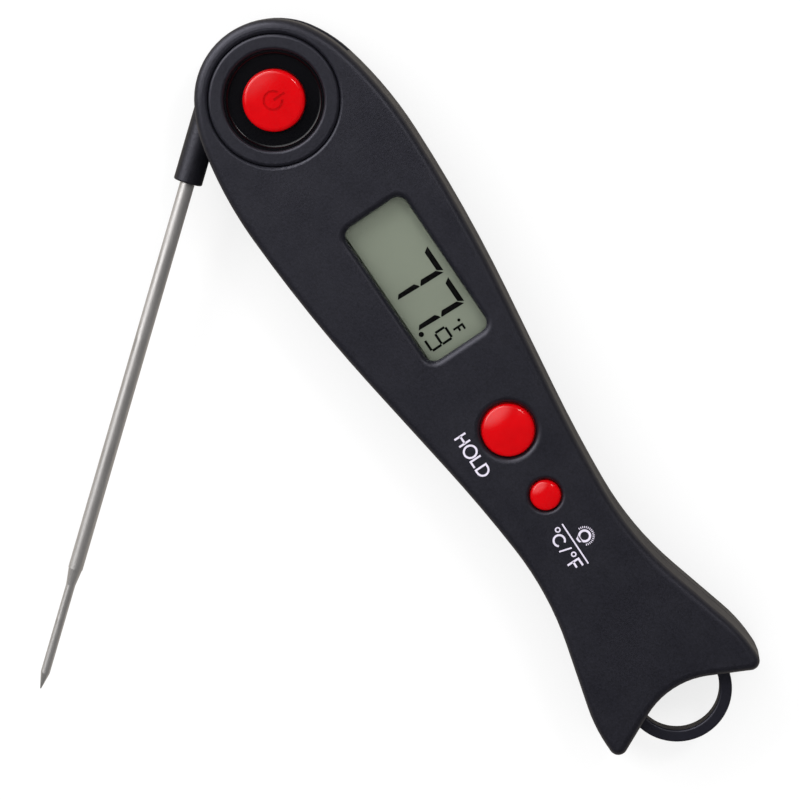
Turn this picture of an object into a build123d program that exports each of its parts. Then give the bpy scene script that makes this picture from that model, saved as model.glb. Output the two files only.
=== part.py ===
from build123d import *
import math
import os

# Folding digital meat thermometer with a fish-shaped case, in millimetres.
#
# Frame: the case lies on its back. Z = 0 is the flat back, +Z points out of the front face, +X runs
# from the pivot to the tail along the case, and the origin is under the pivot axis. The probe is
# stored in a slot along the -Y side and swings out about the Z axis through the origin.

# ---------------------------------------------------------------- driving dimensions: the case
CASE_DEPTH = 17.0
SEAM_Z = CASE_DEPTH / 2
WALL = 1.8
DRAFT_DEG = 1.5
EDGE_ROUND = 1.7
SEAM_CHAMFER = 0.18

NOSE_RADIUS = 16.15
NOSE_SWEEP_DEG = 57.0
SHOULDER_END = (0.0, 17.3)
BELLY_TOP = (20.5, 19.45)
BELLY_END = (58.0, 16.4)
FLANK_LENGTH = 22.3
WAIST = (101.5, 11.05)
TAIL_START = (123.8, 13.3)
TAIL_FLANK_LENGTH = 13.5
LOBE_TOP = (145.5, 18.05)
LOBE_ROUND = 2.1
NOTCH_X = 143.3
NOTCH_RADIUS = 16.8
NOTCH_HALF_DEG = 26.0

# ---------------------------------------------------------------- driving dimensions: the probe
OPEN_DEG = 51.0
PROBE_OFFSET = 12.6
PROBE_TIP_X = 130.9
TUBE_RADIUS = 1.5
TUBE_BORE = 1.05
TIP_RADIUS = 0.95
TIP_BORE = 0.62
TIP_LENGTH = 26.5
NECK_LENGTH = 3.6
POINT_LENGTH = 3.6
COLLAR_RADIUS = 2.95
COLLAR_END_X = 21.4
TUBE_START_X = 4.0
TUBE_FREE_X = COLLAR_END_X + 0.3
TUBE_SWAGE = 1.32
HUB_RADIUS = PROBE_OFFSET + COLLAR_RADIUS
HUB_HALF = 2.95
HUB_BORE = 7.0
LEAD_CHANNEL = 0.9
LEAD_BEND = 1.5

# ---------------------------------------------------------------- driving dimensions: slot and pivot
SLOT_HALF = 3.15
PROBE_SLOT_HALF = 2.3
SLOT_END_X = 132.6
SLOT_WALL = 1.2
CHAMBER_RADIUS = HUB_RADIUS + 0.3
SPINDLE_RADIUS = 6.93
SPINDLE_TOP_Z = 12.4
HEAD_WALL_X = 17.4
STOP_TRACK_RADIUS = 13.6
STOP_PIN_RADIUS = 0.8

# ---------------------------------------------------------------- driving dimensions: controls
CAP_RADIUS = 13.1
DISH_RADIUS = 10.0
DISH_FLOOR_Z = 15.2
DISH_BEND = 0.6
DISH_LIP_Z = 16.25
DISH_FLANGE_Z = 15.0
GROOVE_ROUND = 0.65
DISH_SEAT_Z = 14.2
POWER_RADIUS = 6.2
HOLD_AT = (80.5, 1.7)
HOLD_RADIUS = 5.35
LIGHT_AT = (95.6, 0.6)
LIGHT_RADIUS = 3.1
BUTTON_TRAVEL = 0.5
BUTTON_GAP = 0.25
BUTTON_ROUND = 0.95
HOLE_ROUND = 0.75

# ---------------------------------------------------------------- driving dimensions: display
DISPLAY_AT = (45.2, 3.35)
WINDOW_SIZE = (31.9, 14.45)
WINDOW_CORNER = 2.2
WINDOW_ROUND = 1.25
LENS_TOP = 15.75
GLASS_SIZE = (35.0, 17.0)
BOARD_Z = 8.9
BOARD_THICK = 1.2
BOARD_TOP = BOARD_Z + BOARD_THICK
GLASS_Z = 12.0
GLASS_TOP = 14.05
LENS_THICK = 1.0

# ---------------------------------------------------------------- driving dimensions: battery and back
CELL_AT = (46.0, 3.0)
CELL_RADIUS = 10.0
CELL_THICK = 3.2
CELL_Z = 3.0
DOOR_RADIUS = 11.9
PLUG_RADIUS = 10.3
LUG_RADIUS = 11.3
LUG_COUNT = 3
LUG_HALF_DEG = 12.0
DOOR_TURN_DEG = 40.0
SEAL_Z = (1.15, 1.75)
MAGNET_AT = (97.0, 0.0)
MAGNET_RADIUS = 5.0
MAGNET_THICK = 2.0
MAGNET_RECESS = 0.1
CASE_SCREWS = [(20.5, 14.0), (22.5, -5.4), (68.5, 10.0), (68.5, -5.8), (127.0, 5.4), (127.0, -5.4)]
BOARD_SCREWS = [(24.0, 4.0), (88.2, -4.5)]
BOSS_RADIUS = 2.9
SCREW_RADIUS = 1.0
HEAD_RADIUS = 2.0
HEAD_TOP_Z = 2.4

# ---------------------------------------------------------------- driving dimensions: hanging loop
LOOP_X = 144.6
LOOP_RADIUS = 11.2
LOOP_BORE = 8.7
LOOP_Z = (6.5, 10.5)
LOOP_ROOT = (122.8, 136.5, 9.2)
LOOP_EDGE = 0.45


# ================================================================ helpers
def disc(radius, z_low, z_high, at=(0, 0)):
    """Upright cylinder between two heights."""
    return Pos(at[0], at[1], z_low) * extrude(Circle(radius), z_high - z_low)


def tube(outer, inner, z_low, z_high, at=(0, 0)):
    """Upright ring between two heights."""
    return disc(outer, z_low, z_high, at) - disc(inner, z_low - 1, z_high + 1, at)


def block(x_low, x_high, y_low, y_high, z_low, z_high):
    """Box between two corners."""
    size = (x_high - x_low, y_high - y_low, z_high - z_low)
    return Pos(x_low, y_low, z_low) * Box(*size, align=(Align.MIN, Align.MIN, Align.MIN))


def plate(size, z_low, z_high, at, corner):
    """Rectangular plate with round corners."""
    outline = RectangleRounded(size[0], size[1], corner)
    return Pos(at[0], at[1], z_low) * extrude(outline, z_high - z_low)


def sector(radius, middle_deg, half_deg, z_low, z_high, at=(0, 0)):
    """Pie slice about an upright axis, used to cut or keep part of a ring."""
    a = math.radians(middle_deg - half_deg)
    b = math.radians(middle_deg + half_deg)
    middle = math.radians(middle_deg)
    start = (radius * math.cos(a), radius * math.sin(a))
    far = (radius * math.cos(middle), radius * math.sin(middle))
    end = (radius * math.cos(b), radius * math.sin(b))
    wire = Line((0, 0), start) + ThreePointArc(start, far, end) + Line(end, (0, 0))
    return Pos(at[0], at[1], z_low) * extrude(make_face(wire), z_high - z_low)


def x_rod(radius, x_low, x_high, y, z):
    """Cylinder along X."""
    return Pos(x_low, y, z) * Rot(0, 90, 0) * extrude(Circle(radius), x_high - x_low)


def opened(shape):
    """Turns a shape from its stored place, along the case, to where the open probe stands."""
    return Rot(0, 0, -OPEN_DEG) * shape


def swept_wire(points, bends, radius):
    """Round wire along straight runs joined by arcs."""
    path = FilletPolyline(*points, radius=bends)
    start = Plane(origin=path @ 0, z_dir=path % 0)
    return sweep(start * Circle(radius), path=path)


# ================================================================ case blanks
def half_outline():
    """Edges of the case outline on the +Y side, from the nose round to the middle of the tail notch."""
    nose = CenterArc((0, 0), NOSE_RADIUS, 180, -NOSE_SWEEP_DEG)
    shoulder = TangentArc(nose @ 1, SHOULDER_END, tangent=nose % 1)
    rise = TangentArc(shoulder @ 1, BELLY_TOP, tangent=shoulder % 1)
    fall = TangentArc(rise @ 1, BELLY_END, tangent=rise % 1)
    flank = Line(fall @ 1, (fall @ 1) + (fall % 1) * FLANK_LENGTH)
    waist_in = TangentArc(flank @ 1, WAIST, tangent=flank % 1)
    waist_out = TangentArc(waist_in @ 1, TAIL_START, tangent=waist_in % 1)
    tail_flank = Line(waist_out @ 1, (waist_out @ 1) + (waist_out % 1) * TAIL_FLANK_LENGTH)
    lobe = TangentArc(tail_flank @ 1, LOBE_TOP, tangent=tail_flank % 1)

    notch_mid = Vector(NOTCH_X + NOTCH_RADIUS, 0)
    notch = CenterArc(notch_mid, NOTCH_RADIUS, 180 - NOTCH_HALF_DEG, NOTCH_HALF_DEG)
    lobe_end = lobe @ 1
    lobe_way = lobe % 1
    notch_start = notch @ 0
    notch_way = (notch % 0) * -1
    gap = notch_start - lobe_end
    spread = lobe_way.X * notch_way.Y - lobe_way.Y * notch_way.X
    reach = (gap.X * notch_way.Y - gap.Y * notch_way.X) / spread
    corner = lobe_end + lobe_way * reach
    tip_side = Line(lobe_end, corner)
    tip_back = Line(corner, notch_start)
    head = [nose, shoulder, rise, fall, flank]
    tail = [waist_in, waist_out, tail_flank, lobe, tip_side, tip_back, notch]
    return head + tail, corner


def case_outline():
    """The whole fish outline at the seam, as a face in the XY plane whose normal points down."""
    edges, corner = half_outline()
    mirrored = [mirror(e, Plane.XZ) for e in edges]
    face = make_face(Curve() + edges + mirrored)
    near = 0.01
    tips = [v for v in face.vertices() if abs(v.X - corner.X) < near and abs(abs(v.Y) - abs(corner.Y)) < near]
    return Rot(180, 0, 0) * fillet(tips, LOBE_ROUND)


OUTLINE = case_outline()


def inset_outline(inset):
    """The case outline, moved in all round."""
    return offset(OUTLINE, amount=-inset, kind=Kind.ARC)


def rear_blank():
    """Solid from the seam down to the back, drafted, with its back edge rounded and its seam edge broken."""
    blank = Pos(0, 0, SEAM_Z) * extrude(OUTLINE, amount=SEAM_Z, taper=DRAFT_DEG)
    blank = fillet(blank.edges().group_by(Axis.Z)[0], EDGE_ROUND)
    return chamfer(blank.edges().group_by(Axis.Z)[-1], SEAM_CHAMFER)


REAR_BLANK = rear_blank()
FRONT_BLANK = mirror(REAR_BLANK, Plane.XY.offset(SEAM_Z))


def probe_slot(margin):
    """Space for the hub, the arm's whole sweep and the stored probe, grown by margin for its walls."""
    low = SEAM_Z - SLOT_HALF - margin
    high = SEAM_Z + SLOT_HALF + margin
    outside = 30.0
    chamber = disc(CHAMBER_RADIUS + margin, low, high)
    nose = block(-outside, 0, -outside, outside, low, high)
    arm_y = -(PROBE_OFFSET - COLLAR_RADIUS - 0.35) + margin
    arm = block(-1, COLLAR_END_X + 1.4 + margin, -outside, arm_y, low, high)
    needle_low = SEAM_Z - PROBE_SLOT_HALF - margin
    needle_high = SEAM_Z + PROBE_SLOT_HALF + margin
    needle_y = -(PROBE_OFFSET - TUBE_RADIUS - 0.4) + margin
    needle = block(0, SLOT_END_X + margin, -outside, needle_y, needle_low, needle_high)
    return chamber + nose + arm + needle


def cavity(z_low, z_high):
    """Hollow inside the case behind the head, leaving the walls of the probe slot."""
    hollow = Pos(0, 0, z_low) * extrude(inset_outline(WALL), z_high - z_low, dir=(0, 0, 1))
    hollow -= block(-40, HEAD_WALL_X, -40, 40, -1, 30)
    return hollow - probe_slot(SLOT_WALL)


SLOT = probe_slot(0)


def loop_seat():
    """Openings in the notch wall for the two arms of the hanging loop."""
    gap = 0.1
    return tube(LOOP_RADIUS + gap, LOOP_BORE - gap, LOOP_Z[0] - gap, LOOP_Z[1] + gap, (LOOP_X, 0))


def loop_rib(z_low, z_high):
    """Rib inside one shell that clamps the loop's root."""
    return block(130.0, 131.5, -8.0, 8.0, z_low, z_high)


def face_rims(shell):
    """Edges of the openings in the front face: the cap's hole, the button holes and the display window."""
    face = shell.faces().filter_by(GeomType.PLANE).sort_by(Axis.Z)[-1]
    return [edge for wire in face.inner_wires() for edge in wire.edges()]


# ================================================================ case parts
def front_shell():
    """Front half of the case, with the openings and bosses behind them."""
    shell = FRONT_BLANK - cavity(SEAM_Z, CASE_DEPTH - WALL)
    for at in CASE_SCREWS:
        shell += disc(BOSS_RADIUS, SEAM_Z, CASE_DEPTH - WALL, at)
    for at in BOARD_SCREWS:
        shell += disc(2.0, BOARD_TOP, CASE_DEPTH - WALL, at)
    shell += loop_rib(LOOP_Z[1] + 0.02, CASE_DEPTH - WALL)
    shell -= SLOT
    shell -= loop_seat()

    shell -= disc(CAP_RADIUS + 0.1, DISH_SEAT_Z, CASE_DEPTH + 1)
    shell -= disc(SPINDLE_RADIUS + 0.05, SEAM_Z, SPINDLE_TOP_Z + 0.05)
    shell -= disc(POWER_RADIUS + 1.1, SPINDLE_TOP_Z, DISH_SEAT_Z + 0.1)
    shell -= plate(WINDOW_SIZE, CASE_DEPTH - 3, CASE_DEPTH + 1, DISPLAY_AT, WINDOW_CORNER)
    for at, radius in ((HOLD_AT, HOLD_RADIUS), (LIGHT_AT, LIGHT_RADIUS)):
        shell -= disc(radius + BUTTON_GAP, CASE_DEPTH - WALL - 1, CASE_DEPTH + 1, at)
    rims = face_rims(shell)
    shell = fillet([e for e in rims if e.center().X < CAP_RADIUS], GROOVE_ROUND)
    shell = fillet([e for e in face_rims(shell) if e.center().X > HOLD_AT[0] - HOLD_RADIUS], HOLE_ROUND)
    shell = fillet(face_rims(shell)[:8], WINDOW_ROUND)

    for at in CASE_SCREWS:
        shell -= disc(SCREW_RADIUS + 0.03, SEAM_Z - 1, 14.0, at)
    for at in BOARD_SCREWS:
        shell -= disc(0.73, BOARD_TOP - 1, 14.0, at)
    return shell


def rear_shell():
    """Rear half of the case, with the battery seat, screw bosses and probe slot."""
    shell = REAR_BLANK - cavity(WALL, SEAM_Z)
    for at in CASE_SCREWS:
        shell += disc(BOSS_RADIUS, WALL, SEAM_Z, at)
    for at in ((30.5, -6.4), (62.0, -6.6), (100.5, 5.2), (78.0, 7.6)):
        shell += disc(1.4, WALL, BOARD_Z, at)
    well = tube(12.6, 11.6, WALL, 6.0, CELL_AT) + tube(12.6, CELL_RADIUS + 0.25, CELL_Z, 6.0, CELL_AT)
    well -= block(CELL_AT[0] + 8, CELL_AT[0] + 14, CELL_AT[1] - 2.4, CELL_AT[1] + 2.4, CELL_Z, 7)
    shell += well
    shell += disc(MAGNET_RADIUS + 1.2, WALL, MAGNET_RECESS + MAGNET_THICK + 1.3, MAGNET_AT)
    shell += loop_rib(WALL, LOOP_Z[0] - 0.02)
    shell -= SLOT
    shell -= loop_seat()

    shell -= stop_track()
    shell += disc(SPINDLE_RADIUS, SEAM_Z - SLOT_HALF - 1, SPINDLE_TOP_Z)
    shell -= disc(4.8, WALL, SPINDLE_TOP_Z + 1)
    shell -= disc(5.7, 9.9, SPINDLE_TOP_Z + 1)
    window = tube(9.0, 4.0, SEAM_Z - 1.1, SEAM_Z + 1.1) & sector(12.0, 180.0, 97.0, 0, 17)
    shell -= window & disc(SPINDLE_RADIUS + 0.01, 0, 17)
    shell -= block(0, HEAD_WALL_X + 1, -1.8, 1.8, WALL, 4.0)

    shell -= disc(DOOR_RADIUS + 0.15, -1, 1.0, CELL_AT)
    shell -= disc(PLUG_RADIUS + 0.15, -1, 3.0, CELL_AT)
    for i in range(LUG_COUNT):
        angle = DOOR_TURN_DEG + i * 360 / LUG_COUNT
        notch = sector(LUG_RADIUS + 0.25, angle, LUG_HALF_DEG + 3, -1, 3.0, CELL_AT)
        shell -= notch

    shell -= disc(MAGNET_RADIUS + 0.05, -1, MAGNET_RECESS + MAGNET_THICK, MAGNET_AT)
    for at in CASE_SCREWS:
        shell -= disc(HEAD_RADIUS + 0.25, -1, HEAD_TOP_Z, at)
        shell -= disc(SCREW_RADIUS + 0.15, 0, SEAM_Z + 1, at)
    return shell


def stop_track():
    """Half-circle track in the chamber floor for the hub's stop pin."""
    floor = SEAM_Z - SLOT_HALF
    width = STOP_PIN_RADIUS + 0.2
    ring = tube(STOP_TRACK_RADIUS + width, STOP_TRACK_RADIUS - width, floor - 1.0, floor + 1)
    return ring & sector(20, 180.0, 96.0, 0, 17)


def hang_loop():
    """Flat loop at the tail, with a root plate clamped between the shells round two screw bosses."""
    x_low, x_high, half_width = LOOP_ROOT
    ring = disc(LOOP_RADIUS, *LOOP_Z, (LOOP_X, 0)) - disc(LOOP_BORE, 0, 17, (LOOP_X, 0))
    ring = fillet(ring.edges().filter_by(GeomType.CIRCLE), LOOP_EDGE)
    root = plate((x_high - x_low, 2 * half_width), *LOOP_Z, ((x_low + x_high) / 2, 0), 2.0)
    root -= disc((LOOP_RADIUS + LOOP_BORE) / 2, 0, 17, (LOOP_X, 0))
    for at in CASE_SCREWS[-2:]:
        root -= disc(BOSS_RADIUS + 0.1, 0, 17, at)
    return ring + root


# ================================================================ pivot cap, dish and buttons
def pivot_cap():
    """Ring flush with the face, over the edge of the dish."""
    cap = tube(CAP_RADIUS, DISH_RADIUS, DISH_SEAT_Z, CASE_DEPTH)
    cap -= disc(DISH_RADIUS + 0.6, DISH_SEAT_Z - 1, DISH_FLANGE_Z + 0.02)
    return fillet(cap.edges().group_by(Axis.Z)[-1], GROOVE_ROUND)


def button_dish():
    """Glossy ring round the power button, curving up into a thin wall inside the cap."""
    inner = POWER_RADIUS + 0.15
    outer = DISH_RADIUS - 0.05
    flange = DISH_RADIUS + 0.5
    wall = outer - 0.35
    bend_z = DISH_FLOOR_Z + DISH_BEND
    base = Polyline((inner, DISH_FLOOR_Z), (inner, DISH_SEAT_Z), (flange, DISH_SEAT_Z), (flange, DISH_FLANGE_Z),
                    (outer, DISH_FLANGE_Z), (outer, DISH_LIP_Z), (wall, DISH_LIP_Z), (wall, bend_z))
    slope = math.sqrt(0.5) * DISH_BEND
    middle = (wall - DISH_BEND + slope, bend_z - slope)
    bend = ThreePointArc((wall, bend_z), middle, (wall - DISH_BEND, DISH_FLOOR_Z))
    floor = Line((wall - DISH_BEND, DISH_FLOOR_Z), (inner, DISH_FLOOR_Z))
    return revolve(Plane.XZ * make_face(base + bend + floor), Axis.Z)


def button(radius, top_z, flange_z, flange_top, foot_z, at, crown, foot=2.0):
    """Push button: crowned cap, retaining flange under the case wall, and a foot on its switch."""
    sphere = (radius * radius + crown * crown) / (2 * crown)
    half = radius / 2
    half_z = top_z - sphere + math.sqrt(sphere * sphere - half * half)
    edge_z = top_z - crown
    dome = ThreePointArc((0, top_z), (half, half_z), (radius, edge_z))
    sides = Polyline((radius, edge_z), (radius, flange_top), (radius + 1, flange_top), (radius + 1, flange_z),
                     (foot, flange_z), (foot, foot_z), (0, foot_z), (0, top_z))
    face = make_face(dome + sides)
    rim = [v for v in face.vertices() if abs(v.X - radius) < 0.01 and abs(v.Y - edge_z) < 0.01]
    face = fillet(rim, BUTTON_ROUND)
    return Pos(at[0], at[1], 0) * revolve(Plane.XZ * face, Axis.Z)


def power_button():
    """Power key in the pivot dish, with its sign sunk in the crown."""
    top_z = 17.9
    body = button(POWER_RADIUS, top_z, 13.4, 14.15, 13.1, (0, 0), 0.45)
    mark = tube(2.05, 1.6, top_z - 0.35, top_z + 1) - sector(4.0, 90.0, 28.0, 0, 30)
    mark += block(-0.24, 0.24, 0.2, 2.7, top_z - 0.35, top_z + 1)
    return body - mark


def hold_button():
    """Large key below the display."""
    return button(HOLD_RADIUS, 18.0, 14.1, 15.1, 13.4, HOLD_AT, 0.95)


def light_button():
    """Small key beside the large one."""
    return button(LIGHT_RADIUS, 17.8, 14.1, 15.1, 13.4, LIGHT_AT, 0.7, 1.7)


# ================================================================ display
def lcd_window():
    """Clear lens with a flange that sits behind the face."""
    size = (GLASS_SIZE[0] - 0.5, GLASS_SIZE[1] - 0.5)
    flange_top = CASE_DEPTH - WALL
    lens = plate(size, flange_top - LENS_THICK, flange_top, DISPLAY_AT, 1.5)
    raised = (WINDOW_SIZE[0] - 0.16, WINDOW_SIZE[1] - 0.16)
    return lens + plate(raised, flange_top - 0.1, LENS_TOP, DISPLAY_AT, WINDOW_CORNER - 0.08)


def lcd_panel():
    """Two bonded glass sheets; the lower one is longer for the contact ledges."""
    middle_z = (GLASS_Z + GLASS_TOP) / 2
    lower = plate(GLASS_SIZE, GLASS_Z, middle_z, DISPLAY_AT, 0.3)
    upper = plate((GLASS_SIZE[0], GLASS_SIZE[1] - 3.0), middle_z, GLASS_TOP, DISPLAY_AT, 0.3)
    return lower + upper


def lcd_holder():
    """Frame that holds the glass over the board, open in the middle."""
    outer = plate((GLASS_SIZE[0] + 2.4, GLASS_SIZE[1] + 2.4), BOARD_TOP, GLASS_TOP, DISPLAY_AT, 1.2)
    inner = plate((GLASS_SIZE[0] + 0.2, GLASS_SIZE[1] + 0.2), BOARD_TOP - 1, GLASS_TOP + 1, DISPLAY_AT, 0.4)
    return outer - inner


def zebra_strips():
    """Two rubber connectors between the board and the glass ledges."""
    strips = []
    for side in (-1, 1):
        y = DISPLAY_AT[1] + side * (GLASS_SIZE[1] / 2 - 1.1)
        strips.append(block(DISPLAY_AT[0] - 16, DISPLAY_AT[0] + 16, y - 0.8, y + 0.8, BOARD_TOP, GLASS_Z))
    return Compound(children=strips)


def backlight_guide():
    """Milky sheet behind the display, notched for its lamp."""
    guide = plate((32.0, GLASS_SIZE[1] - 5.4), BOARD_TOP + 0.2, GLASS_Z - 0.1, DISPLAY_AT, 0.5)
    x, y = DISPLAY_AT
    return guide - block(x + 14.8, x + 17, y - 1.8, y + 1.8, 0, 17)


def backlight_led():
    """Lamp at the end of the sheet."""
    x = DISPLAY_AT[0] + 15.0
    return block(x, x + 0.9, DISPLAY_AT[1] - 1.6, DISPLAY_AT[1] + 1.6, BOARD_TOP, BOARD_TOP + 1.1)


# ================================================================ boards and switches
def main_board():
    """Main circuit board, held by two screws and notched for the pivot."""
    blank = Pos(0, 0, BOARD_Z) * extrude(inset_outline(WALL + 0.5), BOARD_THICK, dir=(0, 0, 1))
    board = blank & block(20.6, 104.0, -8.0, 30.0, 0, 17)
    for at in CASE_SCREWS[:4]:
        board -= disc(BOSS_RADIUS + 0.3, 0, 17, at)
    for at in BOARD_SCREWS:
        board -= disc(0.85, 0, 17, at)
    return board.solids().sort_by(SortBy.VOLUME)[-1]


def chip_cover():
    """Round blob of epoxy over the bare controller chip."""
    blob = Pos(74.0, 1.5, BOARD_TOP - 2.6) * Sphere(4.2)
    return blob & block(60, 90, -20, 20, BOARD_TOP, 17)


def board_components():
    """Small soldered parts: a crystal can, capacitors and resistors."""
    parts = [x_rod(1.0, 84.4, 90.4, 5.6, BOARD_TOP + 1.0)]
    for i in range(4):
        x = 73.0 + i * 2.4
        parts.append(block(x, x + 1.6, -5.6, -4.6, BOARD_TOP, BOARD_TOP + 0.7))
    for i in range(3):
        x = 98.6 + i * 1.7
        parts.append(block(x, x + 0.9, -5.2, -3.4, BOARD_TOP, BOARD_TOP + 0.6))
    return Compound(children=parts)


def switch_body(at, base_z, size, height, hole_z):
    """Square tact switch with a hole for its plunger."""
    body = plate((size, size), base_z, base_z + height, at, 0.4)
    return body - disc(1.8, hole_z, base_z + height + 1, at)


def power_board():
    """Small round board under the power key."""
    return disc(5.55, 10.0, 10.8)


def power_switch():
    """Switch under the power key."""
    return switch_body((0, 0), 10.8, 5.6, 1.7, 11.3)


def board_screws():
    """Screws that hold the main board to the front half."""
    screws = [disc(1.5, BOARD_Z - 1.1, BOARD_Z, at) + disc(0.7, BOARD_Z, 13.6, at) for at in BOARD_SCREWS]
    recesses = [cross_recess(at, BOARD_Z - 1.1, 1.8) for at in BOARD_SCREWS]
    return Compound(children=[screw - recess for screw, recess in zip(screws, recesses)])


# ================================================================ battery, magnet and screws
def battery_door():
    """Coin-slot door: cover disc, plug and three bayonet lugs behind the case wall."""
    door = disc(DOOR_RADIUS, 0.1, 0.95, CELL_AT) + disc(PLUG_RADIUS, 0.9, CELL_Z - 0.02, CELL_AT)
    for i in range(LUG_COUNT):
        lug = sector(LUG_RADIUS, i * 360 / LUG_COUNT, LUG_HALF_DEG, 1.95, 2.85, CELL_AT)
        door += lug - disc(8, 0, 5, CELL_AT)
    door -= disc(PLUG_RADIUS - 1.2, 1.9, 5, CELL_AT)
    door -= tube(PLUG_RADIUS + 1, PLUG_RADIUS - 0.7, *SEAL_Z, CELL_AT)
    coin = plate((15.0, 1.9), -1, 0.75, CELL_AT, 0.9)
    return door - coin


def battery_door_seal():
    """Rubber ring in the door plug's groove."""
    return tube(PLUG_RADIUS + 0.1, PLUG_RADIUS - 0.65, SEAL_Z[0] + 0.02, SEAL_Z[1] - 0.02, CELL_AT)


def coin_cell():
    """Coin cell with its smaller top face."""
    can = disc(CELL_RADIUS, CELL_Z, CELL_Z + 2.6, CELL_AT)
    can = fillet(can.edges().group_by(Axis.Z)[0], 0.3)
    return can + disc(CELL_RADIUS - 0.9, CELL_Z + 2.5, CELL_Z + CELL_THICK, CELL_AT)


def battery_spring():
    """Bent leaf under the board that presses on the cell's small side."""
    top = BOARD_Z
    low = CELL_Z + CELL_THICK
    thick = 0.3
    x = CELL_AT[0]
    outline = [(x - 7, top), (x - 4.6, top), (x - 1, low + thick), (x + 1, low + thick),
               (x + 4.6, top), (x + 7, top),
               (x + 7, top - thick), (x + 4.8, top - thick), (x + 1.2, low), (x - 1.2, low), (x - 4.8, top - thick),
               (x - 7, top - thick)]
    face = make_face(Polyline(*outline, close=True))
    return Pos(0, CELL_AT[1] + 2, 0) * Rot(90, 0, 0) * extrude(face, 4)


def battery_clip():
    """Bent strip from the board down to the cell's rim."""
    x = CELL_AT[0] + CELL_RADIUS + 0.02
    y_low = CELL_AT[1] - 2
    upright = block(x, x + 0.3, y_low, y_low + 4, CELL_Z + 0.6, BOARD_Z)
    return upright + block(x, x + 2.6, y_low, y_low + 4, BOARD_Z - 0.3, BOARD_Z)


def rear_magnet():
    """Disc magnet in the back."""
    return disc(MAGNET_RADIUS, MAGNET_RECESS, MAGNET_RECESS + MAGNET_THICK, MAGNET_AT)


def cross_recess(at, face_z, length):
    """Cross-shaped driver recess cut up into a screw head from its face."""
    half = length / 2
    wide = 0.3
    along = block(at[0] - half, at[0] + half, at[1] - wide, at[1] + wide, face_z - 1, face_z + 0.7)
    across = block(at[0] - wide, at[0] + wide, at[1] - half, at[1] + half, face_z - 1, face_z + 0.7)
    return along + across


def case_screws():
    """Six self-tapping screws driven from the back."""
    screws = []
    for at in CASE_SCREWS:
        head = disc(HEAD_RADIUS, HEAD_TOP_Z - 1.4, HEAD_TOP_Z, at)
        head = fillet(head.edges().group_by(Axis.Z)[0], 0.5)
        screw = head + disc(SCREW_RADIUS, HEAD_TOP_Z, 13.4, at)
        screws.append(screw - cross_recess(at, HEAD_TOP_Z - 1.4, 2.6))
    return Compound(children=screws)


# ================================================================ leads held inside the case
def lead_pair(points, bends, radius, spacing):
    """Two parallel wires along the same bent route, one above the other."""
    wires = []
    for side in (-1, 1):
        lifted = [(x, y, z + side * spacing / 2) for x, y, z in points]
        wires.append(swept_wire(lifted, bends, radius))
    return Compound(children=wires)


def sensor_leads():
    """Leads from the spindle, under the hub chamber and up to the board."""
    wires = []
    for y in (-0.9, -0.2):
        route = [(3.6, y, 8.4), (3.6, y, 3.0), (22.6, y, 3.0), (22.6, y, BOARD_Z)]
        wires.append(swept_wire(route, 1.2, 0.3))
    return Compound(children=wires)


def switch_leads():
    """Leads from the power switch's board to the main board."""
    wires = []
    for y in (0.55, 1.25):
        route = [(2.4, y, 10.0), (2.4, y, 3.4), (26.6, y, 3.4), (26.6, y, BOARD_Z)]
        wires.append(swept_wire(route, 1.2, 0.3))
    return Compound(children=wires)


# ================================================================ probe, in its stored place
def probe_hub():
    """Hub disc with the arm's collar moulded on at a tangent."""
    low = SEAM_Z - HUB_HALF
    high = SEAM_Z + HUB_HALF
    collar = x_rod(COLLAR_RADIUS, 0, COLLAR_END_X, -PROBE_OFFSET, SEAM_Z)
    collar = fillet(collar.edges().group_by(Axis.X)[-1], 0.35)
    rotor = disc(HUB_RADIUS, low, high)
    rotor = chamfer(rotor.edges(), 0.25)
    hub = rotor + collar
    hub += disc(STOP_PIN_RADIUS, low - 0.8, low, (0, -STOP_TRACK_RADIUS))
    hub -= disc(HUB_BORE, 0, 17)
    hub -= disc(9.5, low - 1, low + 1.1)
    for groove in (tube(12.2, 11.0, high - 0.95, high + 1), tube(12.2, 11.0, low - 1, low + 0.95)):
        hub -= groove
    hub -= x_rod(TUBE_SWAGE, TUBE_START_X, COLLAR_END_X + 1, -PROBE_OFFSET, SEAM_Z)
    route = [(TUBE_START_X + 1, -PROBE_OFFSET, SEAM_Z), (0, -PROBE_OFFSET, SEAM_Z), (0, -HUB_BORE + 1, SEAM_Z)]
    return hub - swept_wire(route, LEAD_BEND, LEAD_CHANNEL)


def probe_tube():
    """Drawn tube, swaged a little smaller where the collar is moulded over it."""
    end = PROBE_TIP_X - TIP_LENGTH
    outer = x_rod(TUBE_RADIUS, TUBE_FREE_X, end, -PROBE_OFFSET, SEAM_Z)
    outer += x_rod(TUBE_SWAGE, TUBE_START_X, TUBE_FREE_X, -PROBE_OFFSET, SEAM_Z)
    return outer - x_rod(TUBE_BORE, TUBE_START_X - 1, end + 1, -PROBE_OFFSET, SEAM_Z)


def probe_tip():
    """Reduced end of the probe: a neck that fits the tube, a thin stem and a closed point."""
    start = PROBE_TIP_X - TIP_LENGTH
    neck = start + NECK_LENGTH
    point = PROBE_TIP_X - POINT_LENGTH
    tail = start - 4.0
    profile = [(tail, 0), (tail, TUBE_BORE), (start, TUBE_BORE), (start, TUBE_RADIUS - 0.08), (neck, TIP_RADIUS),
               (point, TIP_RADIUS), (PROBE_TIP_X - 0.05, 0.12), (PROBE_TIP_X, 0)]
    face = make_face(Polyline(*profile, close=True))
    solid = revolve(face, Axis.X)
    solid -= x_rod(TIP_BORE, tail - 1, point - 1.0, 0, 0)
    return Pos(0, -PROBE_OFFSET, SEAM_Z) * solid


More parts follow.
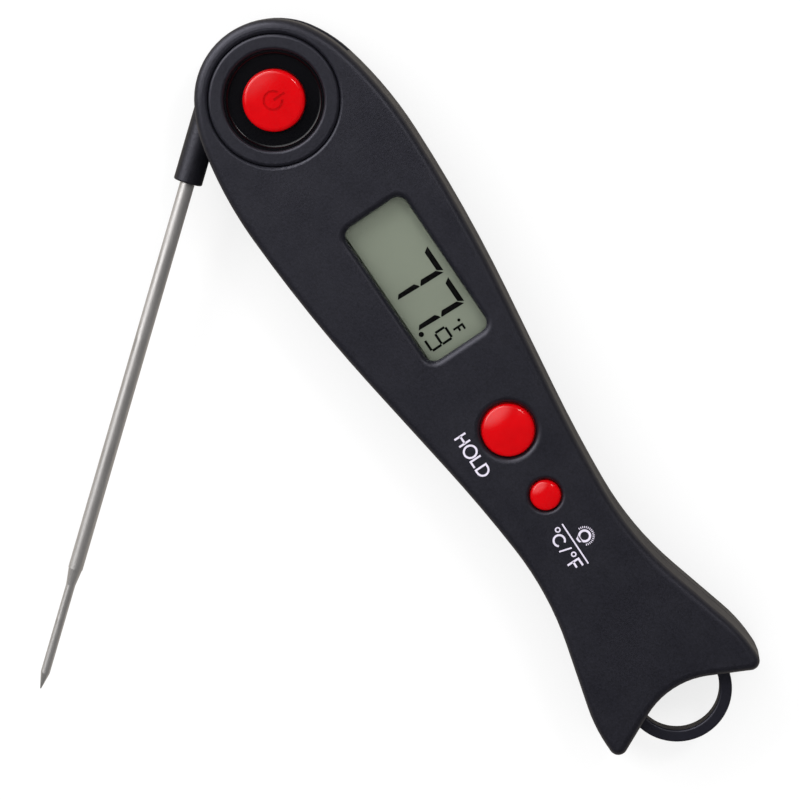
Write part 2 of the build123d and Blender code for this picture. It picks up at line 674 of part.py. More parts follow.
def temperature_bead():
    """Glass bead sensor at the end of the thin stem."""
    point = PROBE_TIP_X - POINT_LENGTH
    return x_rod(0.55, point - 4.0, point - 1.2, -PROBE_OFFSET, SEAM_Z)


def probe_leads():
    """Two leads from the bead, through the tube and the hub's channel, ending at the hub's bore."""
    bead = PROBE_TIP_X - POINT_LENGTH - 4.0
    route = [(bead, -PROBE_OFFSET, SEAM_Z), (0, -PROBE_OFFSET, SEAM_Z), (0, -HUB_BORE - 0.3, SEAM_Z)]
    return lead_pair(route, LEAD_BEND, 0.22, 0.54)


def pivot_seals():
    """Two O-rings in the hub's faces, standing just clear of the chamber."""
    rings = []
    for side in (-1, 1):
        z = SEAM_Z + side * (HUB_HALF - 0.40)
        rings.append(Pos(0, 0, z) * Torus(11.6, 0.52))
    return Compound(children=rings)


def friction_washer():
    """Coned spring washer round the spindle, between the hub and the rear case."""
    floor = SEAM_Z - SLOT_HALF + 0.05
    seat = SEAM_Z - HUB_HALF + 1.05
    thick = 0.4
    profile = [(7.2, floor), (7.6, floor), (9.3, seat - thick), (9.3, seat), (8.9, seat), (7.2, floor + thick)]
    face = make_face(Polyline(*[(x, 0, z) for x, z in profile], close=True))
    return revolve(face, Axis.Z)


# ================================================================ write the sub-parts
def plunger(at, low, high):
    """White plunger of one switch."""
    return disc(1.65, low, high, at)


PARTS = {
    "front_shell": front_shell(),
    "rear_shell": rear_shell(),
    "hang_loop": hang_loop(),
    "pivot_cap": pivot_cap(),
    "button_dish": button_dish(),
    "power_button": power_button(),
    "hold_button": hold_button(),
    "light_button": light_button(),
    "lcd_window": lcd_window(),
    "lcd_panel": lcd_panel(),
    "lcd_holder": lcd_holder(),
    "zebra_strips": zebra_strips(),
    "backlight_guide": backlight_guide(),
    "backlight_led": backlight_led(),
    "main_board": main_board(),
    "chip_cover": chip_cover(),
    "board_components": board_components(),
    "power_board": power_board(),
    "power_switch": power_switch(),
    "power_plunger": plunger((0, 0), 11.9, 13.1),
    "hold_switch": switch_body(HOLD_AT, BOARD_TOP, 6.0, 2.5, BOARD_TOP + 0.3),
    "hold_plunger": plunger(HOLD_AT, 11.2, 13.4),
    "light_switch": switch_body(LIGHT_AT, BOARD_TOP, 6.0, 2.5, BOARD_TOP + 0.3),
    "light_plunger": plunger(LIGHT_AT, 11.2, 13.4),
    "board_screws": board_screws(),
    "battery_door": battery_door(),
    "battery_door_seal": battery_door_seal(),
    "coin_cell": coin_cell(),
    "battery_spring": battery_spring(),
    "battery_clip": battery_clip(),
    "rear_magnet": rear_magnet(),
    "case_screws": case_screws(),
    "sensor_leads": sensor_leads(),
    "switch_leads": switch_leads(),
    "probe_hub": opened(probe_hub()),
    "probe_tube": opened(probe_tube()),
    "probe_tip": opened(probe_tip()),
    "temperature_bead": opened(temperature_bead()),
    "probe_leads": opened(probe_leads()),
    "pivot_seals": opened(pivot_seals()),
    "friction_washer": opened(friction_washer()),
}

os.makedirs("parts", exist_ok=True)
for name, shape in PARTS.items():
    export_step(shape, f"parts/{name}.step")
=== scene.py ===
import math
import bmesh
import bpy
from mathutils import Matrix, Vector


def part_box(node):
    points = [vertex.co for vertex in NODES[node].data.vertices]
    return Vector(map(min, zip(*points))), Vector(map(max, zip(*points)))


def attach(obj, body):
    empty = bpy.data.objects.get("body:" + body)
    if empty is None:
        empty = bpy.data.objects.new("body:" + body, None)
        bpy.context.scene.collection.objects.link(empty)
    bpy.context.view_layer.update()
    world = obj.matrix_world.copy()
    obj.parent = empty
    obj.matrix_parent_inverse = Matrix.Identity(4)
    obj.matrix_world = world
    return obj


# Looks of the folding meat thermometer, in metres, in the CAD model's frame: the back lies on
# Z = 0, +Z comes out of the face, +X runs to the tail and the origin is under the probe's pivot.

MM = 0.001

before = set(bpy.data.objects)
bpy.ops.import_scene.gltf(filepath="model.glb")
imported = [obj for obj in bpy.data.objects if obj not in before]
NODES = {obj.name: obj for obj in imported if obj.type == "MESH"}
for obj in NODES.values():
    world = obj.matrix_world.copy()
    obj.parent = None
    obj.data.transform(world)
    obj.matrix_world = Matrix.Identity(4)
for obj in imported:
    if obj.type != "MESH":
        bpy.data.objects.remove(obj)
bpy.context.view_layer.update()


# ---------------------------------------------------------------- places taken from the frame
def middle(node):
    """Centre of a node's box."""
    low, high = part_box(node)
    return (low + high) / 2


def top(node):
    """Height of a node's highest point."""
    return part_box(node)[1][2]


FACE_Z = top("front_shell")
DISPLAY = middle("lcd_window")
HOLD = middle("hold_button")
LIGHT = middle("light_button")
GLASS_Z = top("lcd_panel")
PROBE_TURN = math.radians(51)


# ---------------------------------------------------------------- procedural finishes
NOISE_LOW, NOISE_HIGH = 0.3, 0.7


def linear(value):
    """Linear share of light for one of the 0 to 255 values a screen shows."""
    share = value / 255
    return ((share + 0.055) / 1.055) ** 2.4 if value > 10 else share / 12.92


def shade(red, green, blue):
    """Linear colour from the 0 to 255 values a screen shows."""
    return linear(red), linear(green), linear(blue)


def join(tree, a, a_socket, b, b_socket):
    """Joins an output of one node to an input of another, each given by name or number."""
    tree.links.new(a.outputs[a_socket], b.inputs[b_socket])


class Graph:
    """A material's node tree, with short names for the nodes the finishes share."""

    def __init__(self, name):
        self.material = bpy.data.materials.new(name)
        self.material.use_nodes = True
        self.tree = self.material.node_tree
        self.tree.nodes.clear()
        self.out = self.node("ShaderNodeOutputMaterial")
        self.skin = self.node("ShaderNodeBsdfPrincipled")
        self.link(self.skin, "BSDF", self.out, "Surface")
        self.where = self.node("ShaderNodeTexCoord")

    def node(self, kind, **settings):
        """Adds a node with the given settings."""
        made = self.tree.nodes.new(kind)
        for key, value in settings.items():
            setattr(made, key, value)
        return made

    def link(self, a, a_socket, b, b_socket):
        join(self.tree, a, a_socket, b, b_socket)

    def set(self, **values):
        """Sets inputs of the main shader. An underscore stands for a space in a name."""
        for key, value in values.items():
            self.skin.inputs[key.replace("_", " ")].default_value = value

    def place(self, turn, stretch):
        """Object coordinates, turned about Z and stretched."""
        mapping = self.node("ShaderNodeMapping")
        mapping.inputs["Rotation"].default_value = (0, 0, turn)
        mapping.inputs["Scale"].default_value = stretch
        self.link(self.where, "Object", mapping, "Vector")
        return mapping

    def noise(self, size, detail, rough, place=None):
        """Noise whose features are about size metres across."""
        made = self.node("ShaderNodeTexNoise")
        made.inputs["Scale"].default_value = 1 / size
        made.inputs["Detail"].default_value = detail
        made.inputs["Roughness"].default_value = rough
        if place:
            self.link(place, "Vector", made, "Vector")
        else:
            self.link(self.where, "Object", made, "Vector")
        return made

    def band(self, source, low, high):
        """Maps a noise onto a range of values."""
        made = self.node("ShaderNodeMapRange")
        made.inputs["From Min"].default_value = NOISE_LOW
        made.inputs["From Max"].default_value = NOISE_HIGH
        made.inputs["To Min"].default_value = low
        made.inputs["To Max"].default_value = high
        self.link(source, "Fac", made, "Value")
        return made

    def tint(self, source, color, share):
        """Mixes the colour a share darker and a share lighter by a noise."""
        ramp = self.node("ShaderNodeValToRGB")
        dark = [c * (1 - share) for c in color]
        pale = [min(1.0, c * (1 + share)) for c in color]
        ramp.color_ramp.elements[0].position = NOISE_LOW
        ramp.color_ramp.elements[1].position = NOISE_HIGH
        ramp.color_ramp.elements[0].color = (*dark, 1)
        ramp.color_ramp.elements[1].color = (*pale, 1)
        self.link(source, "Fac", ramp, "Fac")
        return ramp

    def relief(self, source, depth, strength, under=None):
        """Bumps by a noise, on top of another relief where one is given."""
        bump = self.node("ShaderNodeBump")
        bump.inputs["Strength"].default_value = strength
        bump.inputs["Distance"].default_value = depth
        self.link(source, "Fac", bump, "Height")
        if under:
            self.link(under, "Normal", bump, "Normal")
        return bump


def moulded(
    name, color, rough, grain=0.25 * MM, depth=0.006 * MM, vary=0.12, gloss=(1, 1, 1)
):
    """Moulded plastic: fine grain, faint colour drift and handling marks in the gloss."""
    g = Graph(name)
    fine = g.noise(grain, detail=2.0, rough=0.6)
    broad = g.noise(9 * MM, detail=4.0, rough=0.6)
    g.link(g.tint(fine, color, vary), "Color", g.skin, "Base Color")
    g.link(g.band(broad, rough - 0.05, rough + 0.05), "Result", g.skin, "Roughness")
    waves = g.relief(broad, 0.02 * MM, 0.35)
    g.link(g.relief(fine, depth, 1.0, waves), "Normal", g.skin, "Normal")
    g.set(Specular_Tint=(*gloss, 1))
    return g.material


def polished(name, color, rough, vary, coat, dip=0.01 * MM, specular=0.5):
    """Polished plastic: a clear coat over a colour that drifts a little, with slight sink waves."""
    g = Graph(name)
    broad = g.noise(3.5 * MM, detail=3.0, rough=0.5)
    fine = g.noise(0.4 * MM, detail=2.0, rough=0.5)
    g.link(g.tint(broad, color, vary), "Color", g.skin, "Base Color")
    g.link(g.band(fine, rough * 0.9, rough * 1.15), "Result", g.skin, "Roughness")
    g.link(g.relief(broad, dip, 0.6), "Normal", g.skin, "Normal")
    g.set(Coat_Weight=coat, Coat_Roughness=0.04, Specular_IOR_Level=specular)
    return g.material


def drawn_steel(name, color, rough, turn):
    """Stainless tube with fine lengthwise draw lines and a faint smear of handling."""
    g = Graph(name)
    along = g.place(turn, (1.0, 30.0, 30.0))
    lines = g.noise(4.0 * MM, detail=4.0, rough=0.7, place=along)
    broad = g.noise(6 * MM, detail=3.0, rough=0.5)
    g.link(g.tint(lines, color, 0.1), "Color", g.skin, "Base Color")
    g.link(g.band(broad, rough - 0.05, rough + 0.07), "Result", g.skin, "Roughness")
    g.link(g.relief(lines, 0.004 * MM, 0.6), "Normal", g.skin, "Normal")
    g.set(Metallic=0.72, Anisotropic=0.4)
    return g.material


def plated(name, color, rough):
    """Plated or machined metal with fine turned or random marks."""
    g = Graph(name)
    fine = g.noise(0.15 * MM, detail=3.0, rough=0.6)
    broad = g.noise(4 * MM, detail=3.0, rough=0.5)
    g.link(g.tint(broad, color, 0.08), "Color", g.skin, "Base Color")
    g.link(g.band(fine, rough * 0.7, rough * 1.5), "Result", g.skin, "Roughness")
    g.link(g.relief(fine, 0.002 * MM, 0.5), "Normal", g.skin, "Normal")
    g.set(Metallic=1.0)
    return g.material


def display_glass(name):
    """Grey-green reflective display: fine grain, a slow shade across it and a soft gloss."""
    g = Graph(name)
    fine = g.noise(0.12 * MM, detail=2.0, rough=0.5)
    broad = g.noise(18 * MM, detail=1.0, rough=0.4)
    color = g.tint(broad, shade(129, 135, 121), 0.05)
    grain = g.tint(fine, (1.0, 1.0, 1.0), 0.04)
    mix = g.node("ShaderNodeMix", data_type="RGBA", blend_type="MULTIPLY")
    mix.inputs["Factor"].default_value = 1.0
    g.link(color, "Color", mix, "A")
    g.link(grain, "Color", mix, "B")
    g.link(mix, "Result", g.skin, "Base Color")
    g.link(g.band(fine, 0.42, 0.55), "Result", g.skin, "Roughness")
    g.set(Specular_IOR_Level=0.3)
    return g.material


def clear_lens(name):
    """Clear lens: wipe marks in a gloss that grows at a slant, on the outer side only."""
    g = Graph(name)
    g.tree.nodes.remove(g.skin)
    marks = g.noise(5 * MM, detail=4.0, rough=0.65, place=g.place(0.5, (1.0, 6.0, 1.0)))
    through = g.node("ShaderNodeBsdfTransparent")
    through.inputs["Color"].default_value = (0.985, 0.99, 0.985, 1)
    gloss = g.node("ShaderNodeBsdfGlossy")
    gloss.inputs["Color"].default_value = (1, 1, 1, 1)
    g.link(g.band(marks, 0.02, 0.09), "Result", gloss, "Roughness")
    slant = g.node("ShaderNodeFresnel")
    slant.inputs["IOR"].default_value = 1.35
    side = g.node("ShaderNodeNewGeometry")
    outer = g.node("ShaderNodeMath", operation="SUBTRACT")
    outer.inputs[0].default_value = 1.0
    g.link(side, "Backfacing", outer, 1)
    share = g.node("ShaderNodeMath", operation="MULTIPLY")
    g.link(slant, "Fac", share, 0)
    g.link(outer, "Value", share, 1)
    mix = g.node("ShaderNodeMixShader")
    g.link(share, "Value", mix, "Fac")
    g.link(through, "BSDF", mix, 1)
    g.link(gloss, "BSDF", mix, 2)
    g.link(mix, "Shader", g.out, "Surface")
    return g.material


def printed(name, color, rough=0.5, specular=0.5):
    """Thin screen-printed ink: slightly uneven cover and gloss."""
    g = Graph(name)
    fine = g.noise(0.18 * MM, detail=3.0, rough=0.6)
    broad = g.noise(1.6 * MM, detail=3.0, rough=0.5)
    g.link(g.tint(broad, color, 0.07), "Color", g.skin, "Base Color")
    g.link(g.band(fine, rough - 0.08, rough + 0.08), "Result", g.skin, "Roughness")
    g.link(g.relief(fine, 0.004 * MM, 0.7), "Normal", g.skin, "Normal")
    g.set(Specular_IOR_Level=specular)
    return g.material


def circuit_board(name):
    """Green solder mask with fine tracks under it."""
    g = Graph(name)
    tracks = g.node("ShaderNodeTexBrick")
    tracks.inputs["Scale"].default_value = 1 / (2.2 * MM)
    tracks.inputs["Color1"].default_value = (0.012, 0.12, 0.04, 1)
    tracks.inputs["Color2"].default_value = (0.016, 0.15, 0.05, 1)
    tracks.inputs["Mortar"].default_value = (0.03, 0.24, 0.09, 1)
    tracks.inputs["Mortar Size"].default_value = 0.04
    g.link(g.where, "Object", tracks, "Vector")
    g.link(tracks, "Color", g.skin, "Base Color")
    fine = g.noise(0.3 * MM, detail=3.0, rough=0.5)
    g.link(g.band(fine, 0.28, 0.42), "Result", g.skin, "Roughness")
    g.link(g.relief(fine, 0.003 * MM, 0.6), "Normal", g.skin, "Normal")
    return g.material


DARK_GLOSS = (0.88, 0.87, 1.0)
case_look = moulded(
    "case_plastic", shade(24, 24, 31), 0.44, 0.42 * MM, 0.03 * MM, 0.3, DARK_GLOSS
)
dish_look = polished(
    "dish_gloss_black", shade(9, 9, 13), rough=0.2, vary=0.1, coat=0.0, specular=0.35
)
red_look = polished(
    "button_red", shade(208, 0, 8), rough=0.16, vary=0.05, coat=0.2, dip=0.012 * MM, specular=0.3
)
hub_look = moulded(
    "hub_nylon", shade(16, 16, 22), 0.42, 0.45 * MM, 0.045 * MM, 0.35, DARK_GLOSS
)
loop_look = moulded(
    "loop_nylon", shade(27, 27, 36), 0.4, 0.3 * MM, 0.008 * MM, 0.15, DARK_GLOSS
)
steel_look = drawn_steel("probe_steel", (0.5, 0.485, 0.475), 0.38, PROBE_TURN)
screw_look = plated("screw_black_oxide", (0.045, 0.045, 0.05), 0.35)
nickel_look = plated("nickel", (0.62, 0.61, 0.58), 0.18)
brass_look = plated("spring_brass", (0.6, 0.5, 0.28), 0.22)
rubber_look = moulded("seal_rubber", (0.012, 0.012, 0.012), 0.6, 0.4 * MM, 0.01 * MM)
lens_look = clear_lens("lens_clear")
lcd_look = display_glass("display_glass")
holder_look = moulded("frame_black", shade(30, 30, 32), 0.5, 0.5 * MM, 0.004 * MM, 0.1)
white_look = moulded("frame_white", (0.62, 0.61, 0.57), 0.45, 0.5 * MM, 0.004 * MM, 0.04)
guide_look = polished("guide_milky", (0.75, 0.78, 0.8), rough=0.2, vary=0.03, coat=0.3)
board_look = circuit_board("board_green")
epoxy_look = polished("epoxy_black", (0.008, 0.008, 0.008), rough=0.25, vary=0.2, coat=0.4)
part_look = moulded("soldered_parts", (0.32, 0.27, 0.2), 0.4, 0.2 * MM, 0.004 * MM, 0.25)
switch_look = moulded("switch_black", (0.02, 0.02, 0.022), 0.45)
wire_look = moulded("wire_red", (0.4, 0.01, 0.01), 0.4, 0.3 * MM, 0.003 * MM)
bead_look = polished("bead_amber", (0.35, 0.14, 0.04), rough=0.1, vary=0.2, coat=0.6)
lamp_look = polished("lamp_white", (0.85, 0.8, 0.5), rough=0.3, vary=0.05, coat=0.3)
ink_look = printed("label_ink", shade(226, 219, 236))
segment_look = printed("display_segment", shade(2, 2, 2), 0.6, 0.1)

LOOKS = {
    case_look: ["front_shell", "rear_shell", "pivot_cap", "battery_door"],
    dish_look: ["button_dish"],
    red_look: ["power_button", "hold_button", "light_button"],
    hub_look: ["probe_hub"],
    loop_look: ["hang_loop"],
    steel_look: ["probe_tube", "probe_tip"],
    screw_look: ["case_screws", "board_screws", "friction_washer"],
    nickel_look: ["rear_magnet", "coin_cell"],
    brass_look: ["battery_spring", "battery_clip"],
    rubber_look: ["battery_door_seal", "pivot_seals", "zebra_strips"],
    lens_look: ["lcd_window"],
    lcd_look: ["lcd_panel"],
    holder_look: ["lcd_holder"],
    white_look: ["power_plunger", "hold_plunger", "light_plunger"],
    guide_look: ["backlight_guide"],
    board_look: ["main_board", "power_board"],
    epoxy_look: ["chip_cover"],
    part_look: ["board_components"],
    switch_look: ["power_switch", "hold_switch", "light_switch"],
    wire_look: ["sensor_leads", "switch_leads", "probe_leads"],
    bead_look: ["temperature_bead"],
    lamp_look: ["backlight_led"],
}
for look, nodes in LOOKS.items():
    for node in nodes:
        for each in NODES[node].material_slots:
            each.material = look


# ---------------------------------------------------------------- flat printed pieces
RING_STEPS = 36
# A mitre is cut short where the cosine of half the turn falls below this.
SHARPEST = 0.35


class Print:
    """A flat printed piece: closed thin shapes, drawn in millimetres about a point of the face."""

    def __init__(self, at, z, thick):
        self.mesh = bmesh.new()
        self.at = at
        self.z = z
        self.thick = thick

    def rows(self, points):
        """The same corner points at the bottom and at the top of the print."""
        x, y = self.at
        flat = [(x + px * MM, y + py * MM) for px, py in points]
        low = [self.mesh.verts.new((px, py, self.z)) for px, py in flat]
        high = [self.mesh.verts.new((px, py, self.z + self.thick)) for px, py in flat]
        return low, high

    def polygon(self, points):
        """One flat shape with straight sides."""
        low, high = self.rows(points)
        self.mesh.faces.new(high)
        self.mesh.faces.new(low[::-1])
        for i in range(len(points)):
            j = (i + 1) % len(points)
            self.mesh.faces.new((low[i], low[j], high[j], high[i]))

    def band(self, left, right, closed):
        """Strip between two lines with the same number of points."""
        left_low, left_high = self.rows(left)
        right_low, right_high = self.rows(right)
        count = len(left)
        for i in range(count if closed else count - 1):
            j = (i + 1) % count
            self.mesh.faces.new((left_high[i], right_high[i], right_high[j], left_high[j]))
            self.mesh.faces.new((left_low[j], right_low[j], right_low[i], left_low[i]))
            self.mesh.faces.new((left_low[i], left_high[i], left_high[j], left_low[j]))
            self.mesh.faces.new((right_low[j], right_high[j], right_high[i], right_low[i]))
        if not closed:
            for i in (0, -1):
                self.mesh.faces.new((left_low[i], right_low[i], right_high[i], left_high[i]))

    def stroke(self, points, width, closed=False):
        """Pen stroke along points, mitred at the joints."""
        points = [Vector(p) for p in points]
        count = len(points)
        left, right = [], []
        for i, here in enumerate(points):
            into = away = None
            if closed or i > 0:
                into = (here - points[i - 1]).normalized()
            if closed or i < count - 1:
                away = (points[(i + 1) % count] - here).normalized()
            way = (into + away).normalized() if into and away else (into or away)
            side = Vector((-way.y, way.x))
            run = away or into
            reach = width / 2 / max(SHARPEST, side.dot(Vector((-run.y, run.x))))
            left.append(here + side * reach)
            right.append(here - side * reach)
        self.band(left, right, closed)

    def ring(self, centre, radius, width, narrow=1.0):
        """Closed round stroke, narrowed along X where asked."""
        last = 360 - 360 / RING_STEPS
        self.stroke(arc(centre, radius, 0, last, RING_STEPS - 1, narrow), width, closed=True)

    def finish(self, name, look, body="case"):
        """Turns the drawing into a piece that rides a body."""
        bmesh.ops.recalc_face_normals(self.mesh, faces=self.mesh.faces)
        data = bpy.data.meshes.new(name)
        self.mesh.to_mesh(data)
        self.mesh.free()
        data.materials.append(look)
        piece = bpy.data.objects.new(name, data)
        bpy.context.collection.objects.link(piece)
        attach(piece, body)


def arc(centre, radius, start, end, steps, narrow=1.0):
    """Points on a circle, or an ellipse narrowed along X, between two angles in degrees."""
    points = []
    for i in range(steps + 1):
        angle = math.radians(start + (end - start) * i / steps)
        across = radius * narrow * math.cos(angle)
        points.append((centre[0] + across, centre[1] + radius * math.sin(angle)))
    return points


# ---------------------------------------------------------------- generic labels on the face
LABEL_LIFT = 0.002 * MM
LABEL_THICK = 0.02 * MM
PEN = 0.4


def face_print(at, dx, dy):
    """Starts a print on the face, at an offset in millimetres from a key's middle."""
    return Print((at.x + dx * MM, at.y + dy * MM), FACE_Z + LABEL_LIFT, LABEL_THICK)


def hold_label():
    """The word for the hold key, in plain upright strokes."""
    half = 1.31
    h_left, h_right = -4.75, -3.05
    l_left, l_right, l_foot = 0.72, 2.15, -half + PEN / 2
    d_left = 2.72
    draw = face_print(HOLD, 0.45, -8.68)
    draw.stroke([(h_left, -half), (h_left, half)], PEN)
    draw.stroke([(h_right, -half), (h_right, half)], PEN)
    draw.stroke([(h_left, 0.05), (h_right, 0.05)], PEN)
    draw.ring((-1.05, 0), half, PEN, 0.95)
    draw.stroke([(l_left, half), (l_left, l_foot), (l_right, l_foot)], PEN)
    bowl = arc((3.32, 0), half - 0.1, -90, 90, 16, 1.02)
    draw.stroke([(d_left, -half + 0.1), *bowl, (d_left, half - 0.1)], PEN, closed=True)
    draw.finish("label_hold", ink_look)


def unit_label():
    """Degrees C, a slash and degrees F, under a bar."""
    bar_half, bar_pen = 4.8, 0.3
    degree_pen = 0.26
    f_stem, f_low, f_arm, f_top = 2.85, -3.75, -2.42, -1.15
    draw = face_print(LIGHT, 11.5, -0.5)
    draw.stroke([(-bar_half, 0.05), (bar_half, -0.05)], bar_pen)
    draw.ring((-4.3, -1.35), 0.45, degree_pen)
    draw.stroke(arc((-2.3, -2.32), 1.14, 38, 322, 24), PEN)
    draw.stroke([(-0.42, -3.6), (0.3, -1.05)], PEN * 0.8)
    draw.ring((1.62, -1.45), 0.43, degree_pen)
    draw.stroke([(f_stem, f_low), (f_stem, f_top), (4.5, f_top)], PEN)
    draw.stroke([(f_stem, f_arm), (4.2, f_arm)], PEN)
    draw.finish("label_unit", ink_look)


def lamp_label():
    """Small lamp with rays, for the display light."""
    rays, ray_pen = 18, 0.16
    ray_start, ray_end = 1.6, 2.02
    first_deg, sweep_deg = -22, 205
    draw = face_print(LIGHT, 11.2, 1.95)
    draw.ring((0, 0), 1.1, 0.46)
    draw.polygon([(-0.42, -1.75), (0.5, -1.65), (0.78, -1.0), (-0.85, -1.0)])
    for i in range(rays):
        angle = math.radians(first_deg + sweep_deg * i / (rays - 1))
        way = Vector((math.cos(angle), math.sin(angle)))
        draw.stroke([way * ray_start, way * ray_end], ray_pen)
    draw.finish("label_lamp", ink_look)


hold_label()
unit_label()
lamp_label()


# ---------------------------------------------------------------- digits on the display
def seven(draw, x):
    """Large seven from three pointed bars, leaning a little. x is its outer right edge."""
    thick = 1.14
    high, waist, low = 5.42, -0.25, -5.5
    bars = [
        [(-6.1, high), (-0.35, high), (-1.08, high - thick), (-5.35, high - thick)],
        [
            (0, high - 0.2), (-0.18, waist + 0.1), (-0.52, waist + 0.2), (-1.28, waist + 0.84),
            (-1.12, high - thick - 0.22),
        ],
        [
            (-0.22, waist - 0.1), (-0.48, low), (-1.36, low + 0.7), (-1.32, waist - 0.84),
            (-0.6, waist - 0.2),
        ],
    ]
    for bar in bars:
        draw.polygon([(x + bx, by) for bx, by in bar][::-1])


def small_nine(draw, x_low, x_high, y_low, y_high):
    """Small nine from six separate bars between the given lines."""
    waist = (y_low + y_high) / 2
    pen = 0.5
    gap = 0.16
    runs = [
        [(x_low + gap, y_high), (x_high - gap, y_high)],
        [(x_high, y_high - gap), (x_high, waist + gap)],
        [(x_high, waist - gap), (x_high, y_low + gap)],
        [(x_low, y_high - gap), (x_low, waist + gap)],
        [(x_low + gap, waist), (x_high - gap, waist)],
        [(x_low + gap, y_low), (x_high - gap, y_low)],
    ]
    for run in runs:
        draw.stroke(run, pen)


SEGMENT_LIFT = 0.01 * MM
SEGMENT_THICK = 0.03 * MM


def reading():
    """Shows 77.9 degrees F on the top of the display glass."""
    f_left, f_right, f_low, f_arm, f_top = 12.7, 13.8, 0.35, 1.42, 2.45
    f_pen = 0.44
    draw = Print((DISPLAY.x, DISPLAY.y), GLASS_Z + SEGMENT_LIFT, SEGMENT_THICK)
    seven(draw, 1.99)
    seven(draw, 9.41)
    draw.polygon(arc((9.87, -5.5), 0.54, 0, 345, 23))
    small_nine(draw, 11.2, 13.85, -5.6, -0.7)
    draw.polygon(arc((11.64, 2.38), 0.32, 0, 340, 17))
    draw.stroke([(f_left, f_low), (f_left, f_top), (f_right, f_top)], f_pen)
    draw.stroke([(f_left, f_arm), (13.6, f_arm)], f_pen)
    draw.finish("display_reading", segment_look)


reading()


# ---------------------------------------------------------------- floor, light and camera
FLOOR_SIZE = 6.0
FLOOR_AT = (0.07, -0.03, -0.0002)
FLOOR_TINT = (0.3, 0.3, 0.3)
FLOOR_GLOW = 0.72
FLOOR_MIRRORED = (0.42, 0.385, 0.33, 1)


def studio_floor():
    """White table: its glow keeps shadows faint, and reflections show it darker."""
    bpy.ops.mesh.primitive_plane_add(size=FLOOR_SIZE, location=FLOOR_AT)
    floor = bpy.context.object
    floor.name = "floor"
    g = Graph("floor_paper")
    fine = g.noise(0.8 * MM, detail=3.0, rough=0.5)
    g.link(g.tint(fine, FLOOR_TINT, 0.01), "Color", g.skin, "Base Color")
    g.set(Roughness=0.9, Specular_IOR_Level=0.1)
    g.set(Emission_Color=(1, 1, 1, 1), Emission_Strength=FLOOR_GLOW)
    path = g.node("ShaderNodeLightPath")
    mirrored = g.node("ShaderNodeBsdfDiffuse")
    mirrored.inputs["Color"].default_value = FLOOR_MIRRORED
    mix = g.node("ShaderNodeMixShader")
    g.link(path, "Is Glossy Ray", mix, "Fac")
    g.link(g.skin, "BSDF", mix, 1)
    g.link(mirrored, "BSDF", mix, 2)
    g.link(mix, "Shader", g.out, "Surface")
    floor.data.materials.append(g.material)


CAMERA_TARGET = Vector((63.4 * MM, -12.8 * MM, 17 * MM))
CAMERA_DISTANCE = 606.8 * MM
CAMERA_ROLL = math.radians(55.7)
CAMERA_LENS = 136.5
CAMERA_SENSOR = 36
LEAN_X = math.radians(5)
LEAN_Y = math.radians(7)
BACK = Vector((-math.tan(LEAN_X), math.tan(LEAN_Y), 1)).normalized()
LEVEL = (Vector((1, 0, 0)) - BACK * BACK.x).normalized()
RISE = BACK.cross(LEVEL)
RIGHT = LEVEL * math.cos(CAMERA_ROLL) + RISE * math.sin(CAMERA_ROLL)
UP = RISE * math.cos(CAMERA_ROLL) - LEVEL * math.sin(CAMERA_ROLL)


def camera():
    """Camera along BACK from the target, turned round its own axis by CAMERA_ROLL."""
    data = bpy.data.cameras.new("camera")
    data.lens = CAMERA_LENS
    data.sensor_width = CAMERA_SENSOR
    made = bpy.data.objects.new("camera", data)
    bpy.context.collection.objects.link(made)
    at = CAMERA_TARGET + BACK * CAMERA_DISTANCE
    turned = Matrix((RIGHT, UP, BACK)).transposed().to_4x4()
    made.matrix_world = Matrix.Translation(at) @ turned
    bpy.context.scene.camera = made


def toward(turn_deg, tilt_deg):
    """Direction out of the object: turn is counted round the view, tilt away from the camera."""
    turn, tilt = math.radians(turn_deg), math.radians(tilt_deg)
    side = RIGHT * math.cos(turn) + UP * math.sin(turn)
    return BACK * math.cos(tilt) + side * math.sin(tilt)


SOFTBOX_DISTANCE = 1.2


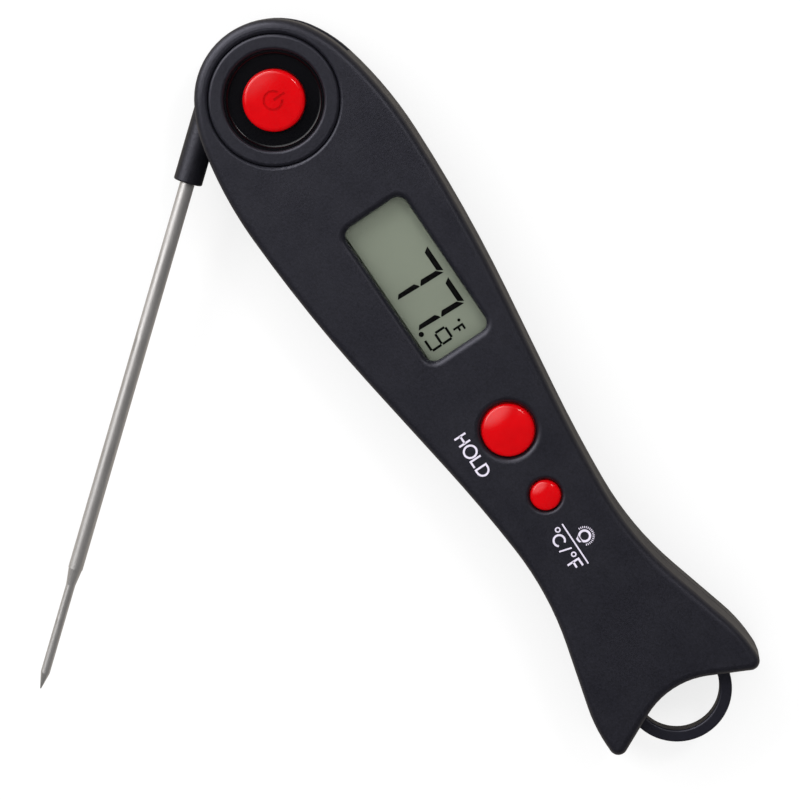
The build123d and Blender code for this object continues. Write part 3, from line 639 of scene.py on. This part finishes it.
def softbox(name, turn_deg, tilt_deg, size, radiance):
    """Area light aimed at the object. size is its width across the tilt and its width along it."""
    aim = toward(turn_deg, tilt_deg)
    along = toward(turn_deg, tilt_deg + 90)
    across = along.cross(aim)
    data = bpy.data.lights.new(name, "AREA")
    data.shape = "RECTANGLE"
    data.size, data.size_y = size
    data.energy = radiance * math.pi * size[0] * size[1]
    made = bpy.data.objects.new(name, data)
    bpy.context.collection.objects.link(made)
    turned = Matrix((-across, along, aim)).transposed().to_4x4()
    made.matrix_world = Matrix.Translation(CAMERA_TARGET + aim * SOFTBOX_DISTANCE) @ turned


FADE_START, FADE_END = 0.72, 0.9


def surroundings(seen, soft, mirrored_far, mirrored_near, near):
    """White room: seen in one brightness, lighting by another, mirrored brightest round near."""
    world = bpy.data.worlds.new("studio")
    bpy.context.scene.world = world
    world.use_nodes = True
    tree = world.node_tree
    tree.nodes.clear()
    out = tree.nodes.new("ShaderNodeOutputWorld")
    path = tree.nodes.new("ShaderNodeLightPath")
    shades = []
    for strength in (soft, mirrored_near, seen):
        made = tree.nodes.new("ShaderNodeBackground")
        made.inputs["Color"].default_value = (1, 1, 1, 1)
        made.inputs["Strength"].default_value = strength
        shades.append(made)
    where = tree.nodes.new("ShaderNodeTexCoord")
    dot = tree.nodes.new("ShaderNodeVectorMath")
    dot.operation = "DOT_PRODUCT"
    dot.inputs[1].default_value = near
    fade = tree.nodes.new("ShaderNodeMapRange")
    fade.interpolation_type = "SMOOTHSTEP"
    fade.inputs["From Min"].default_value = FADE_START
    fade.inputs["From Max"].default_value = FADE_END
    fade.inputs["To Min"].default_value = mirrored_far
    fade.inputs["To Max"].default_value = mirrored_near
    join(tree, where, "Generated", dot, 0)
    join(tree, dot, "Value", fade, "Value")
    join(tree, fade, "Result", shades[1], "Strength")
    below = shades[0]
    for ray, above in (("Is Glossy Ray", shades[1]), ("Is Camera Ray", shades[2])):
        mix = tree.nodes.new("ShaderNodeMixShader")
        join(tree, path, ray, mix, "Fac")
        join(tree, below, 0, mix, 1)
        join(tree, above, 0, mix, 2)
        below = mix
    join(tree, below, 0, out, "Surface")


studio_floor()
camera()
surroundings(
    seen=0.93, soft=0.85, mirrored_far=0.0, mirrored_near=2.7, near=toward(140, 48)
)
softbox("softbox_left", turn_deg=138, tilt_deg=55, size=(1.25, 0.4), radiance=4.0)
softbox("softbox_right", turn_deg=46, tilt_deg=31, size=(0.18, 0.3), radiance=12.0)
bpy.context.scene.view_settings.view_transform = "Standard"
